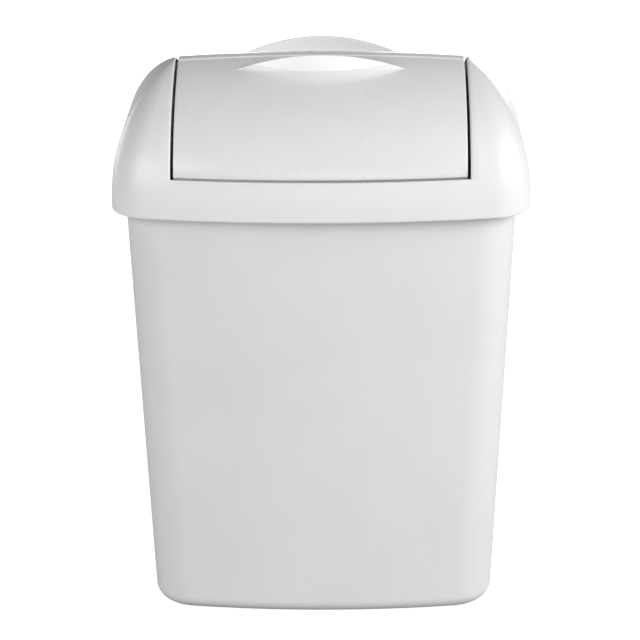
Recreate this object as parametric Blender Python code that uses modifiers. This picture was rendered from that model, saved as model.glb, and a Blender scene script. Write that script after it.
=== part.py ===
"""Swing-top litter bin: a tapered body, a liner ring, a domed hood and a rocking flap.

Metres, +Z up. The front faces -Y and the origin is on the floor under the centre.
The bin is the same front and back, and the same left and right.
"""

import math

import bmesh
import bpy
from mathutils import Matrix, Vector

# Plan of every section: a rounded rectangle whose front and back are bowed
BOW_RADIUS = 0.744
CORNER_RADIUS = 0.036
BOW_STEPS = 5
CORNER_STEPS = 6

# Body
BASE_HALF_WIDTH = 0.1414
BASE_HALF_DEPTH = 0.0926
WIDTH_DRAFT = 0.0454
DEPTH_DRAFT = 0.0274
BASE_RISE = 0.0012
BASE_FILLET = 0.013
INNER_FILLET = 0.008
FILLET_STEPS = 4
WALL = 0.0025
FLOOR_THICKNESS = 0.003
BODY_TOP = 0.366
FLANGE_REACH = 0.004
FLANGE_DEPTH = 0.0035

# Rubber pads under the base, each in a shallow round socket
PAD_RADIUS = 0.009
PAD_HEIGHT = 0.0022
PAD_X = 0.105
PAD_Y = 0.052
PAD_EDGE = 0.0004
SOCKET_TOP = 0.0025

# Liner ring: lies on the body's flange, with a lip that hangs inside the body
RING_THICKNESS = 0.0022
RING_LIP_DEPTH = 0.014
RING_LIP_THICKNESS = 0.0018

# Hood: a dome that rises from its rim to a ridge along X, with a round shoulder at each end.
# Its section is a superellipse: depth falls as the cosine and height grows as the sine of one
# angle, each to its own power, so the sides stand steeper and the ridge is a blunt crest.
RIM_HALF_WIDTH = 0.168
RIM_HALF_DEPTH = 0.1135
RIM_Z = 0.3495
RIDGE_Z = 0.4609
RIDGE_CROWN = 0.0037
SHOULDER_X = 0.116
DEPTH_POWER = 1.5
RISE_POWER = 0.78
DOME_STEPS = 12
LIP_Z = 0.3816
SIDE_GAP = 0.0023
CHEEK_WALL = 0.0024
CHEEK_INSET = 0.0012
RIB_Y = 0.045
RIB_THICKNESS = 0.002
RIB_TOP = 0.384
RIB_END = 0.1640

# Flap: front and rear panels a little inside the dome's curve. Near the hood's lip they draw in
# further, and pass behind it on a circle about the pivot.
PIVOT_Z = 0.4435
LIP_CLEARANCE = 0.0010
FLAP_RECESS = 0.0018
DRAW_IN_HEIGHT = 0.0135
TUCK_LENGTH = 0.0045
TUCK_STEPS = 2
PANEL_STEPS = 14
PANEL_COLUMNS = 16
PANEL_CORNER = 0.005
PANEL_CORNER_STEPS = 3
SPINE_HALF_DEPTH = 0.0072
SPINE_RAISE = 0.0006
SPINE_TAPER = 0.0005
SPINE_RIB_HALF = 0.002
SPINE_RIB_DEPTH = 0.007
SPINE_RIB_END = 0.104

# Grip lips, one each side of the ridge. A lip's crest is highest and furthest from the ridge in
# the middle. Towards its ends it falls, and draws in to the ridge, as the square of x.
GRIP_CREST_Y = 0.0367
GRIP_CREST_Z = 0.4671
GRIP_HALF_CHORD = 0.065
GRIP_DRAW_IN = 0.0106
GRIP_FALL = 0.0127
GRIP_THICKNESS = 0.0016
GRIP_OUTER_SLOPE = math.tan(math.radians(20))
GRIP_INNER_SLOPE = math.tan(math.radians(12))
GRIP_ROOT = 0.0015
GRIP_COLUMNS = 18

# Flap end plates, pins and bushes on the pivot axis
END_INNER_X = 0.1106
END_THICKNESS = 0.0024
END_BAND = 0.024
END_LOW_ANGLE = math.radians(27)
END_STEPS = 16
PIN_RADIUS = 0.0030
PIN_HEAD_RADIUS = 0.0055
PIN_HEAD_X = 0.1076
PIN_END_X = 0.1234
BUSH_RADIUS = 0.0050
BUSH_FLANGE_RADIUS = 0.0065
BUSH_END_X = 0.1238
ROUND_STEPS = 24

# Gap left between pieces that touch
GAP = 0.0003
# Extra room for the facets of a curved neighbour
MESH_MARGIN = 0.0003
# Distance by which a cutter runs past what it cuts
OVERRUN = 0.02
MERGE = 0.000001
RING_TOP = BODY_TOP + GAP + RING_THICKNESS


def clear_scene():
    for old in list(bpy.data.objects):
        bpy.data.objects.remove(old, do_unlink=True)


def make_collection(name):
    collection = bpy.data.collections.new(name)
    bpy.context.scene.collection.children.link(collection)
    return collection


def make_material(name, colour, roughness):
    material = bpy.data.materials.new(name)
    material.use_nodes = True
    shader = material.node_tree.nodes["Principled BSDF"]
    shader.inputs["Base Color"].default_value = (*colour, 1)
    shader.inputs["Roughness"].default_value = roughness
    shader.inputs["Metallic"].default_value = 0.0
    return material


def make_axis(name, height):
    empty = bpy.data.objects.new(name, None)
    empty.location = (0, 0, height)
    parts.objects.link(empty)
    return empty


def place(name, mesh, material, axis=None):
    """Make one named part. Its mesh is in world coordinates, and it moves with its axis empty."""
    obj = bpy.data.objects.new(name, mesh)
    parts.objects.link(obj)
    mesh.materials.clear()
    mesh.materials.append(material)
    if axis:
        hang_on(obj, axis)
    return obj


def hang_on(obj, axis):
    obj.parent = axis
    obj.matrix_parent_inverse = Matrix.Translation(-axis.location)


def make_cutter(name, mesh):
    obj = bpy.data.objects.new(name, mesh)
    obj.hide_render = True
    obj.display_type = "WIRE"
    cutters.objects.link(obj)
    return obj


def combine(target, tool, operation):
    modifier = target.modifiers.new(tool.name, "BOOLEAN")
    modifier.operation = operation
    modifier.object = tool


def shade(mesh, angle=30):
    mesh.shade_smooth()
    mesh.set_sharp_from_angle(angle=math.radians(angle))


def mesh_of(name, bm):
    bmesh.ops.recalc_face_normals(bm, faces=bm.faces)
    mesh = bpy.data.meshes.new(name)
    bm.to_mesh(mesh)
    bm.free()
    shade(mesh)
    return mesh


def loft(name, sections, cyclic=False, cap_top=True):
    """Skin closed sections of equal count. The ends are capped, or joined when cyclic.

    A last section that folds shut on a line needs no cap.
    """
    bm = bmesh.new()
    loops = [[bm.verts.new(point) for point in section] for section in sections]
    pairs = list(zip(loops, loops[1:]))
    if cyclic:
        pairs.append((loops[-1], loops[0]))
    else:
        bm.faces.new(reversed(loops[0]))
    if cap_top and not cyclic:
        bm.faces.new(loops[-1])
    for low, high in pairs:
        for i, start in enumerate(low):
            j = (i + 1) % len(low)
            bm.faces.new((start, low[j], high[j], high[i]))
    bmesh.ops.remove_doubles(bm, verts=bm.verts, dist=MERGE)
    return mesh_of(name, bm)


def sheet(name, rows):
    """Skin an open grid of points."""
    bm = bmesh.new()
    lines = [[bm.verts.new(point) for point in row] for row in rows]
    for low, high in zip(lines, lines[1:]):
        for i in range(len(low) - 1):
            bm.faces.new((low[i], low[i + 1], high[i + 1], high[i]))
    mesh = bpy.data.meshes.new(name)
    bm.to_mesh(mesh)
    bm.free()
    shade(mesh)
    return mesh


def box_mesh(name, low, high):
    low, high = Vector(low), Vector(high)
    bm = bmesh.new()
    bmesh.ops.create_cube(bm, size=1)
    bmesh.ops.scale(bm, vec=high - low, verts=bm.verts)
    bmesh.ops.translate(bm, vec=(low + high) / 2, verts=bm.verts)
    return mesh_of(name, bm)


def cylinder_mesh(name, radius, start, end):
    """A cylinder between two points."""
    start, end = Vector(start), Vector(end)
    direction = end - start
    turn = direction.to_track_quat("Z", "Y").to_matrix().to_4x4()
    bm = bmesh.new()
    bmesh.ops.create_cone(
        bm,
        cap_ends=True,
        segments=ROUND_STEPS,
        radius1=radius,
        radius2=radius,
        depth=direction.length,
        matrix=Matrix.Translation((start + end) / 2) @ turn,
    )
    return mesh_of(name, bm)


def plan_quarter(half_width, half_depth, bow, corner):
    """Front right quarter of the plan, from the front's middle to the right side's middle."""
    bow_centre = bow - half_depth
    corner_x = half_width - corner
    lean = math.asin(corner_x / (bow - corner))
    corner_y = bow_centre - (bow - corner) * math.cos(lean)
    points = []
    for i in range(BOW_STEPS):
        angle = lean * i / BOW_STEPS
        points.append((bow * math.sin(angle), bow_centre - bow * math.cos(angle)))
    for i in range(CORNER_STEPS + 1):
        angle = lean + (math.pi / 2 - lean) * i / CORNER_STEPS
        points.append((corner_x + corner * math.sin(angle), corner_y - corner * math.cos(angle)))
    points.append((half_width, 0.0))
    return points


def plan_outline(half_width, half_depth, inset=0.0):
    """The whole plan, anticlockwise, moved in by inset all round."""
    quarter = plan_quarter(
        half_width - inset,
        half_depth - inset,
        BOW_RADIUS - inset,
        CORNER_RADIUS - inset,
    )
    right = quarter + [(x, -y) for x, y in reversed(quarter[:-1])]
    left = [(-x, y) for x, y in reversed(right[1:-1])]
    return right + left


def body_section(inset, height):
    outline = plan_outline(
        BASE_HALF_WIDTH + WIDTH_DRAFT * height, BASE_HALF_DEPTH + DEPTH_DRAFT * height, inset
    )
    return [Vector((x, y, height)) for x, y in outline]


def fillet(radius, inset, height):
    """Sections of a round base edge, from the flat base out to the wall."""
    for i in range(FILLET_STEPS + 1):
        angle = math.pi / 2 * i / FILLET_STEPS
        yield body_section(
            inset + radius * (1 - math.sin(angle)), height + radius * (1 - math.cos(angle))
        )


def ridge_height(x):
    return RIDGE_Z - RIDGE_CROWN * (x / SHOULDER_X) ** 2


def depth_share(angle):
    """Share of the rim's depth that is left at an angle, negative past the ridge."""
    cosine = math.cos(angle)
    return math.copysign(abs(cosine) ** DEPTH_POWER, cosine)


def rise_share(angle):
    return math.sin(angle) ** RISE_POWER


def dome_point(x, y, angle, inset=0.0):
    """Point above plan point (x, y) of the rim. Angle 0 is the rim and 90 degrees is the ridge."""
    reach = min(abs(x), SHOULDER_X)
    rise = ridge_height(reach) - inset - RIM_Z
    share = depth_share(angle)
    across = reach + (abs(x) - reach) * share
    return Vector((math.copysign(across, x), y * share, RIM_Z + rise * rise_share(angle)))


def depth_angle(x, y):
    """Angle at which the dome's section at x is y deep."""
    return math.acos((y / rim_depth(x)) ** (1 / DEPTH_POWER))


def dome_height(x, y):
    return dome_point(x, rim_depth(x), depth_angle(x, y)).z


def rim_depth(x):
    """Half the rim's depth where the bow crosses x."""
    return RIM_HALF_DEPTH - BOW_RADIUS + math.sqrt(BOW_RADIUS**2 - x**2)


def dome_mesh(name, inset, skirt):
    """Closed dome, with a straight skirt below the rim where one is asked for."""
    outline = plan_outline(RIM_HALF_WIDTH, RIM_HALF_DEPTH, inset)
    sections = []
    if skirt:
        sections.append([Vector((x, y, RIM_Z - skirt)) for x, y in outline])
    for i in range(DOME_STEPS + 1):
        angle = math.pi / 2 * i / DOME_STEPS
        sections.append([dome_point(x, y, angle, inset) for x, y in outline])
    return loft(name, sections, cap_top=False)


def profile_plate(name, outline, low_x, high_x):
    """Flat plate standing across X, from an outline of (y, z) points."""
    curve = bpy.data.curves.new(name, "CURVE")
    curve.dimensions = "2D"
    curve.fill_mode = "BOTH"
    curve.extrude = (high_x - low_x) / 2
    spline = curve.splines.new("POLY")
    spline.points.add(len(outline) - 1)
    for point, (y, z) in zip(spline.points, outline):
        point.co = (y, z, 0, 1)
    spline.use_cyclic_u = True
    guide = bpy.data.objects.new(name + "_outline", curve)
    cutters.objects.link(guide)
    bpy.context.view_layer.update()
    flat = bpy.data.meshes.new_from_object(guide.evaluated_get(bpy.context.evaluated_depsgraph_get()))
    bpy.data.objects.remove(guide, do_unlink=True)
    bm = bmesh.new()
    bm.from_mesh(flat)
    bpy.data.meshes.remove(flat)
    bmesh.ops.remove_doubles(bm, verts=bm.verts, dist=MERGE)
    stand = Matrix(((0, 0, 1, 0), (1, 0, 0, 0), (0, 1, 0, 0), (0, 0, 0, 1)))
    bm.transform(Matrix.Translation(((low_x + high_x) / 2, 0, 0)) @ stand)
    return mesh_of(name, bm)


def arch(depth, rise, low_angle):
    """Points of the dome's arch from its front foot over the ridge to its rear foot."""
    points = []
    for i in range(END_STEPS + 1):
        angle = low_angle + (math.pi - 2 * low_angle) * i / END_STEPS
        points.append((-depth * depth_share(angle), RIM_Z + rise * rise_share(angle)))
    return points


def rise_angle(share):
    """Angle at which the dome has risen by a share of its height."""
    return math.asin(share ** (1 / RISE_POWER))


def cheek_wall_mesh(name, low_x, high_x):
    depth = rim_depth(SHOULDER_X) - CHEEK_INSET
    rise = ridge_height(SHOULDER_X) - CHEEK_INSET - RIM_Z
    low_angle = rise_angle((RING_TOP + GAP - RIM_Z) / rise)
    return profile_plate(name, arch(depth, rise, low_angle), low_x, high_x)


def end_plate_mesh(name, low_x, high_x):
    """Band that stiffens one end of the flap and carries its pivot."""
    widest = max(abs(low_x), abs(high_x))
    margin = WALL + GAP + MESH_MARGIN
    depth = rim_depth(widest) - margin - FLAP_RECESS
    rise = ridge_height(widest) - margin - RIM_Z
    outer = arch(depth, rise, END_LOW_ANGLE)
    inner = arch(depth - END_BAND, rise - END_BAND, END_LOW_ANGLE)
    return profile_plate(name, outer + inner[::-1], low_x, high_x)


def tuck_radius(x):
    """Radius about the pivot at which the flap passes the hood's lip, at x."""
    rise = ridge_height(x) - RIM_Z
    angle = rise_angle((LIP_Z - RIM_Z) / rise)
    lip_depth = rim_depth(x) * depth_share(angle) - WALL
    return math.hypot(lip_depth, PIVOT_Z - LIP_Z) - LIP_CLEARANCE


def flap_share(x):
    """Share of the dome's depth that the recessed flap keeps at x."""
    return 1 - FLAP_RECESS / rim_depth(x)


def flap_height(x, y):
    """Height of the flap's outside where it is y deep at x, above the drawn-in edge."""
    return dome_height(x, y / flap_share(x))


def draw_in(x, y, z):
    """How much further in a point of the flap lies, for the lip it has to pass."""
    rise = ridge_height(x) - RIM_Z
    lip_depth = rim_depth(x) * flap_share(x) * depth_share(rise_angle((LIP_Z - RIM_Z) / rise))
    most = lip_depth - math.sqrt(tuck_radius(x) ** 2 - (PIVOT_Z - LIP_Z) ** 2)
    near = max(LIP_Z + DRAW_IN_HEIGHT - z, 0.0) / DRAW_IN_HEIGHT
    return math.copysign(most * near**2, y)


def corner_lift(x):
    """How much higher the flap's lower edge ends at x, for its rounded corners."""
    past = abs(x) - (SHOULDER_X - PANEL_CORNER)
    if past <= 0:
        return 0.0
    return PANEL_CORNER - math.sqrt(max(PANEL_CORNER**2 - past**2, 0.0))


def panel_columns():
    straight = SHOULDER_X - PANEL_CORNER
    middle = [straight * (2 * i / PANEL_COLUMNS - 1) for i in range(PANEL_COLUMNS + 1)]
    ends = []
    for i in range(1, PANEL_CORNER_STEPS + 1):
        angle = math.pi / 2 * i / PANEL_CORNER_STEPS
        ends.append(straight + PANEL_CORNER * math.sin(angle))
    return [-x for x in reversed(ends)] + middle + ends


def panel_line(x, side):
    """One line down the outside of a flap panel, from beside the spine to the tucked edge."""
    depth = side * rim_depth(x) * flap_share(x)
    top = depth_angle(x, SPINE_HALF_DEPTH / flap_share(x))
    turn = rise_angle((LIP_Z - RIM_Z) / (ridge_height(x) - RIM_Z))
    points = []
    for i in range(PANEL_STEPS + 1):
        point = dome_point(x, depth, top + (turn - top) * i / PANEL_STEPS)
        point.y -= draw_in(x, point.y, point.z)
        points.append(point)
    last = points[-1]
    radius = math.hypot(last.y, last.z - PIVOT_Z)
    start = math.atan2(PIVOT_Z - last.z, abs(last.y))
    swing = (TUCK_LENGTH - corner_lift(x)) / radius
    for i in range(1, TUCK_STEPS + 1):
        angle = start + swing * i / TUCK_STEPS
        points.append(
            Vector((x, side * radius * math.cos(angle), PIVOT_Z - radius * math.sin(angle)))
        )
    return points


def panel_mesh(name, side):
    lines = [panel_line(x, side) for x in panel_columns()]
    if side > 0:
        lines.reverse()
    return sheet(name, lines)


def grip_section(x, side):
    """Cross section of a grip lip: steep on its outer face, upright on its inner face."""
    fall = (x / GRIP_HALF_CHORD) ** 2
    crest_y = GRIP_CREST_Y - GRIP_DRAW_IN * fall
    crest_z = GRIP_CREST_Z - GRIP_FALL * fall
    height = crest_z - flap_height(x, crest_y) + GRIP_ROOT
    outline = [
        (crest_y + height * GRIP_OUTER_SLOPE, crest_z - height),
        (crest_y, crest_z),
        (crest_y - GRIP_THICKNESS, crest_z),
        (crest_y - GRIP_THICKNESS - height * GRIP_INNER_SLOPE, crest_z - height),
    ]
    return [Vector((x, side * y, z)) for y, z in outline]


def grip_mesh(name, side):
    stations = [GRIP_HALF_CHORD * (2 * i / GRIP_COLUMNS - 1) for i in range(GRIP_COLUMNS + 1)]
    return loft(name, [grip_section(x, side) for x in stations])


def spine_section(x):
    """Cross section of the ridge strip, raised a little above the dome."""
    half = SPINE_HALF_DEPTH - GAP
    side = dome_height(x, half)
    top = ridge_height(x)
    outline = [
        (-half + SPINE_TAPER, side - WALL),
        (-half, side + SPINE_RAISE),
        (-half / 2, dome_height(x, half / 2) + SPINE_RAISE),
        (0, top + SPINE_RAISE),
        (half / 2, dome_height(x, half / 2) + SPINE_RAISE),
        (half, side + SPINE_RAISE),
        (half - SPINE_TAPER, side - WALL),
        (0, top - WALL),
    ]
    return [Vector((x, y, z)) for y, z in outline]


def turned(name, profile):
    """Turned piece from (radius, height) points that run down its outer side."""
    bm = bmesh.new()
    line = [bm.verts.new((radius, 0, height)) for radius, height in profile]
    for start, end in zip(line, line[1:]):
        bm.edges.new((start, end))
    mesh = bpy.data.meshes.new(name)
    bm.to_mesh(mesh)
    bm.free()
    return mesh


def add_screw(obj):
    screw = obj.modifiers.new("turn", "SCREW")
    screw.steps = ROUND_STEPS
    screw.render_steps = ROUND_STEPS
    screw.use_merge_vertices = True
    screw.merge_threshold = MERGE
    screw.use_smooth_shade = True


def place_on_pivot(name, mesh, material, axis, side):
    """A turned piece with its own origin on the pivot axis, pointing out to one side."""
    obj = place(name, mesh, material)
    obj.location = (0, 0, PIVOT_Z)
    obj.rotation_euler = (0, side * math.pi / 2, 0)
    add_screw(obj)
    hang_on(obj, axis)
    return obj


def make_body():
    sections = list(fillet(BASE_FILLET, 0.0, BASE_RISE))
    under = BODY_TOP - FLANGE_DEPTH
    sections.append(body_section(0.0, under))
    sections.append(body_section(-FLANGE_REACH, under))
    sections.append(body_section(-FLANGE_REACH, BODY_TOP))
    inner = list(fillet(INNER_FILLET, WALL, BASE_RISE + FLOOR_THICKNESS))
    sections.append(body_section(WALL, BODY_TOP))
    sections.extend(reversed(inner))
    body = place("bin_body", loft("bin_body", sections), white_body)
    for name, x, y in pad_places():
        socket = cylinder_mesh(
            name + "_socket", PAD_RADIUS + GAP, (x, y, -OVERRUN), (x, y, SOCKET_TOP)
        )
        combine(body, make_cutter(name + "_socket", socket), "DIFFERENCE")


def pad_places():
    for end, y in (("front", -PAD_Y), ("rear", PAD_Y)):
        for hand, x in (("left", -PAD_X), ("right", PAD_X)):
            yield f"foot_pad_{end}_{hand}", x, y


def make_pads():
    for name, x, y in pad_places():
        pad = place(name, cylinder_mesh(name, PAD_RADIUS, (x, y, 0), (x, y, PAD_HEIGHT)), rubber)
        bevel = pad.modifiers.new("edge", "BEVEL")
        bevel.width = PAD_EDGE
        bevel.segments = 1
        bevel.limit_method = "ANGLE"


def make_ring():
    seat = BODY_TOP + GAP
    hang = WALL + GAP
    inner = hang + RING_LIP_THICKNESS
    bottom = BODY_TOP - RING_LIP_DEPTH
    sections = [
        body_section(-FLANGE_REACH, seat),
        body_section(-FLANGE_REACH, RING_TOP),
        body_section(inner, RING_TOP),
        body_section(inner, bottom),
        body_section(hang, bottom),
        body_section(hang, seat),
    ]
    place("bag_ring", loft("bag_ring", sections, cyclic=True), grey_ring, ring_axis)


def make_hood():
    hood = place("hood", dome_mesh("hood", 0.0, 0.0), white_hood, hood_axis)
    hollow = make_cutter("hood_hollow", dome_mesh("hood_hollow", WALL, OVERRUN))
    combine(hood, hollow, "DIFFERENCE")
    inner_x = SHOULDER_X + SIDE_GAP
    outer_x = inner_x + CHEEK_WALL
    for hand, side in (("left", -1), ("right", 1)):
        low_x, high_x = sorted((side * inner_x, side * outer_x))
        name = "cheek_wall_" + hand
        combine(hood, make_cutter(name, cheek_wall_mesh(name, low_x, high_x)), "UNION")
        rib_start = side * (inner_x + CHEEK_WALL / 2)
        for end, y in (("front", -RIB_Y), ("rear", RIB_Y)):
            name = f"cheek_rib_{end}_{hand}"
            low_x, high_x = sorted((rib_start, side * RIB_END))
            rib = box_mesh(
                name,
                (low_x, y - RIB_THICKNESS / 2, RING_TOP + GAP),
                (high_x, y + RIB_THICKNESS / 2, RIB_TOP),
            )
            combine(hood, make_cutter(name, rib), "UNION")
    window = box_mesh(
        "flap_window",
        (-inner_x, -RIM_HALF_DEPTH - OVERRUN, LIP_Z),
        (inner_x, RIM_HALF_DEPTH + OVERRUN, RIDGE_Z + OVERRUN),
    )
    combine(hood, make_cutter("flap_window", window), "DIFFERENCE")
    bore = cylinder_mesh(
        "bush_bore", BUSH_RADIUS + GAP, (-outer_x - GAP, 0, PIVOT_Z), (outer_x + GAP, 0, PIVOT_Z)
    )
    combine(hood, make_cutter("bush_bore", bore), "DIFFERENCE")


def make_bushes():
    sleeve = SHOULDER_X + SIDE_GAP
    flange = sleeve + CHEEK_WALL + GAP
    bore = PIN_RADIUS + GAP
    profile = [
        (bore, BUSH_END_X),
        (BUSH_FLANGE_RADIUS, BUSH_END_X),
        (BUSH_FLANGE_RADIUS, flange),
        (BUSH_RADIUS, flange),
        (BUSH_RADIUS, sleeve),
        (bore, sleeve),
        (bore, BUSH_END_X),
    ]
    for hand, side in (("left", -1), ("right", 1)):
        name = "pivot_bush_" + hand
        place_on_pivot(name, turned(name, profile), acetal, hood_axis, side)


def make_panels():
    for name, side in (("flap_front_panel", -1), ("flap_rear_panel", 1)):
        panel = place(name, panel_mesh(name, side), white_flap, flap_axis)
        shell = panel.modifiers.new("wall", "SOLIDIFY")
        shell.thickness = WALL
        shell.offset = -1
        shell.use_even_offset = True
        grip = make_cutter(name + "_grip", grip_mesh(name + "_grip", side))
        combine(panel, grip, "UNION")


def make_spine():
    stations = [SHOULDER_X * (2 * i / PANEL_COLUMNS - 1) for i in range(PANEL_COLUMNS + 1)]
    spine_mesh = loft("flap_spine", [spine_section(x) for x in stations])
    spine = place("flap_spine", spine_mesh, white_flap, flap_axis)
    top = ridge_height(SPINE_RIB_END) - WALL / 2
    rib = box_mesh(
        "spine_rib",
        (-SPINE_RIB_END, -SPINE_RIB_HALF, top - WALL - SPINE_RIB_DEPTH),
        (SPINE_RIB_END, SPINE_RIB_HALF, top),
    )
    combine(spine, make_cutter("spine_rib", rib), "UNION")


def make_ends():
    outer_x = END_INNER_X + END_THICKNESS
    for hand, side in (("left", -1), ("right", 1)):
        name = "flap_end_" + hand
        low_x, high_x = sorted((side * END_INNER_X, side * outer_x))
        end = place(name, end_plate_mesh(name, low_x, high_x), white_flap, flap_axis)
        bore = cylinder_mesh(
            name + "_bore",
            PIN_RADIUS + GAP,
            (low_x - OVERRUN, 0, PIVOT_Z),
            (high_x + OVERRUN, 0, PIVOT_Z),
        )
        combine(end, make_cutter(name + "_bore", bore), "DIFFERENCE")


def make_pins():
    head = END_INNER_X - GAP
    profile = [
        (0, PIN_END_X),
        (PIN_RADIUS, PIN_END_X),
        (PIN_RADIUS, head),
        (PIN_HEAD_RADIUS, head),
        (PIN_HEAD_RADIUS, PIN_HEAD_X),
        (0, PIN_HEAD_X),
    ]
    for hand, side in (("left", -1), ("right", 1)):
        name = "pivot_pin_" + hand
        place_on_pivot(name, turned(name, profile), acetal, flap_axis, side)


clear_scene()
parts = make_collection("swing_top_bin")
cutters = make_collection("cutters")

white_body = make_material("white_body", (0.80, 0.80, 0.80), 0.42)
white_hood = make_material("white_hood", (0.83, 0.83, 0.83), 0.38)
white_flap = make_material("white_flap", (0.82, 0.82, 0.82), 0.36)
grey_ring = make_material("grey_ring", (0.45, 0.46, 0.47), 0.50)
acetal = make_material("acetal", (0.72, 0.72, 0.70), 0.35)
rubber = make_material("rubber", (0.05, 0.05, 0.05), 0.80)

ring_axis = make_axis("ring_lift_axis", BODY_TOP)
hood_axis = make_axis("hood_lift_axis", RING_TOP)
flap_axis = make_axis("flap_swing_axis", PIVOT_Z)

make_body()
make_pads()
make_ring()
make_hood()
make_bushes()
make_panels()
make_spine()
make_ends()
make_pins()
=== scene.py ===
"""Swing-top litter bin in a plain white studio: a satin white body, a grey liner ring, a domed hood
and a rocking flap with grip lips. Metres, +Z up, front faces -Y. The pieces follow the CAD frame.
"""

import math

import bmesh
import bpy
from mathutils import Matrix, Vector


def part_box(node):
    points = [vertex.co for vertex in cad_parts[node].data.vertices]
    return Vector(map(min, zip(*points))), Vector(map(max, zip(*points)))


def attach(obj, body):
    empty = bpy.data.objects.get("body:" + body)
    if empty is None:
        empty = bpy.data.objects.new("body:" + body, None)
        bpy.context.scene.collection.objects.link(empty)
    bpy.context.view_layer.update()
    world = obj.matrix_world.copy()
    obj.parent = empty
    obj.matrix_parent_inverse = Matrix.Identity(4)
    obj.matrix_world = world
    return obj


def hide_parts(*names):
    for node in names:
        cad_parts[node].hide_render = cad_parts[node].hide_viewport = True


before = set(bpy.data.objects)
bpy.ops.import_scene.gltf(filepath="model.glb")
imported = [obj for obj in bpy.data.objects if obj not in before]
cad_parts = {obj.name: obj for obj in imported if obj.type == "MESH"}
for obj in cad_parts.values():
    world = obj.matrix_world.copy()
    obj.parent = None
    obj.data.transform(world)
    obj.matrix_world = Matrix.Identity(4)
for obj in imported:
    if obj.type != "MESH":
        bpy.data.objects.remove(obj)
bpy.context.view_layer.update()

# Where things are, read from the frame
BODY_LOW, BODY_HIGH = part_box("bin_body")
HOOD_LOW, HOOD_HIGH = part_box("hood")
RING_LOW, RING_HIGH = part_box("bag_ring")
FLAP_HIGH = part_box("flap_front_panel")[1]
SPINE_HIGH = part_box("flap_spine")[1]
PIN_LOW, PIN_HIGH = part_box("pivot_pin_right")
BUSH_LOW, BUSH_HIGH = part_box("pivot_bush_right")
PIVOT_Z = (PIN_LOW.z + PIN_HIGH.z) / 2

# Plan of every section: a rounded rectangle whose front and back are bowed
BOW_RADIUS = 0.744
CORNER_RADIUS = 0.036
BOW_STEPS = 28
CORNER_STEPS = 16
SIDE_STEPS = 14
# Where a quarter of the plan ends, as plan_point counts
SIDE_MIDDLE = 3

# Body
WIDTH_DRAFT = 0.0454
DEPTH_DRAFT = 0.0274
FLANGE_REACH = 0.004
FLANGE_DEPTH = 0.0035
# (inset, rise) of the small curve between the wall and the flange's underside
FLANGE_ROOT = ((0.0, -0.0008), (-0.0003, -0.0002), (-0.001, 0.0))
BODY_TOP = BODY_HIGH.z
BASE_HALF_WIDTH = BODY_HIGH.x - FLANGE_REACH - WIDTH_DRAFT * BODY_TOP
BASE_HALF_DEPTH = BODY_HIGH.y - FLANGE_REACH - DEPTH_DRAFT * BODY_TOP
BASE_RISE = BODY_LOW.z
BASE_FILLET = 0.013
INNER_FILLET = 0.008
WALL = 0.0025
FLOOR_THICKNESS = 0.003
OUTER_WALL_ROWS = 24
INNER_WALL_ROWS = 12
EDGE = 0.0006
GAP = 0.0003
PAD_GROOVE_RADII = (0.0065, 0.0045, 0.0025)
PAD_GROOVE_SIZE = 0.0003
# Radius of the tiny hole that a pad's turned faces leave at its middle
PAD_CENTRE = 0.00001
RING_WALL = 0.0018
RING_ROUND = 0.0012

# Hood
RIM_HALF_WIDTH = HOOD_HIGH.x
RIM_HALF_DEPTH = HOOD_HIGH.y
RIM_Z = HOOD_LOW.z
SHOULDER_X = FLAP_HIGH.x
RIDGE_Z = 0.4609
RIDGE_CROWN = 0.0037
DEPTH_POWER = 1.5
RISE_POWER = 0.78
LIP_Z = 0.3816
SIDE_GAP = 0.0023
CHEEK_WALL = 0.0024
RING_TOP = RING_HIGH.z
WINDOW_X = SHOULDER_X + SIDE_GAP
WINDOW_EDGE = 0.0016
# How far a cheek's window edge runs on into the arch, and where the wall starts inside it
EDGE_RETURN = 0.002
ARCH_SINK = WINDOW_EDGE * 0.6
LIP_ROUND_DEPTH = 0.0008
LIP_ROUND_HEIGHT = 0.0009
# The lip's inner face overlaps the top of the band's inside
LIP_FACE = 0.003
BAND_INSIDE_STOP = 0.002
# Under the window the band turns out a little towards its lip
FLARE = 0.0008
FLARE_HEIGHT = 0.0075
FLARE_FADE = (0.106, 0.116)
BAND_TOP = LIP_Z - LIP_ROUND_HEIGHT
BAND_ROWS = 26
# Ribs inside the cheeks, and how much less the bore's radius is than the bush flange's
RIB_Y = 0.045
RIB_HALF_THICKNESS = 0.001
RIB_END_X = 0.164
RIB_TOP = 0.384
BORE_INSET = 0.0012
CHEEK_ROWS = 40
CHEEK_COLUMNS = 44
WINDOW_COLUMNS = 56

# Flap
TUCK_LENGTH = 0.0045
LIP_CLEARANCE = 0.0010
FLAP_RECESS = 0.0018
DRAW_IN_HEIGHT = 0.0135
PANEL_EDGE = 0.0008
# The panel's skin stops above the lip and a thinner tongue goes down behind the lip
SKIN_STOP = 0.0009
SKIN_ROUND = 0.0008
SKIN_LEAN = 0.1
TONGUE_SINK = 0.0013
SPINE_HALF_DEPTH = SPINE_HIGH.y + GAP
SPINE_RAISE = 0.0006
GRIP_CREST_Y = 0.0367
GRIP_CREST_Z = FLAP_HIGH.z
GRIP_HALF_CHORD = 0.065
GRIP_DRAW_IN = 0.0106
GRIP_FALL = 0.0127
GRIP_THICKNESS = 0.0022
GRIP_OUTER_SLOPE = math.tan(math.radians(14))
GRIP_INNER_SLOPE = math.tan(math.radians(4))
GRIP_OUTER_FOOT = 0.40
GRIP_INNER_FOOT = 0.22
GRIP_LEAST_FOOT = 0.0012
# The most of a lip face's length that its foot's curve takes up
FOOT_SHARE = 0.9
FOOT_TRIES = 6
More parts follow.
